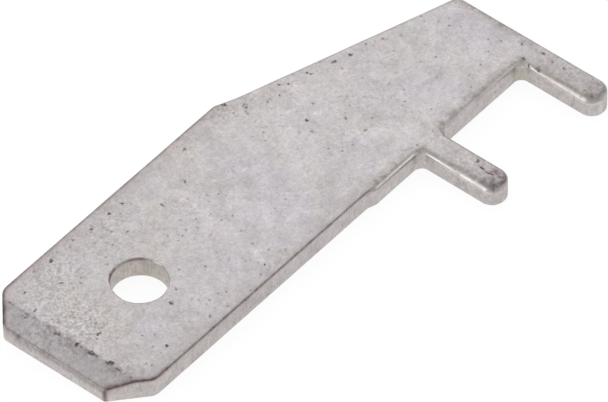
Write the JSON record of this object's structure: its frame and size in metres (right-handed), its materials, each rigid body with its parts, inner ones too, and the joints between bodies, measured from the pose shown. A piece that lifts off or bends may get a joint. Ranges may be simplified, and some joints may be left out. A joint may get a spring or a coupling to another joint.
{
  "type": "pcb tab terminal",
  "caption": "Flat stamped push-on blade with a detent hole and a bevelled, chamfered tip, its body standing on solder pins along one side for a circuit board.",
  "frame": {"origin": "centre of the detent hole, at the part's lower face", "axes": "+X along the blade from its tip towards the pins, the pins point to -Y, +Z out of the upper face, which has the rolled edges and the lead-in bevel"},
  "size_m": [0.0203, 0.0095, 0.0008],
  "materials": {
    "tinned_brass": "matte tin plate on brass strip, faintly mottled, with scratches and small dark pits"
  },
  "bodies": {
    "root": {"tab_terminal": "tinned_brass"}
  },
  "joints": []
}
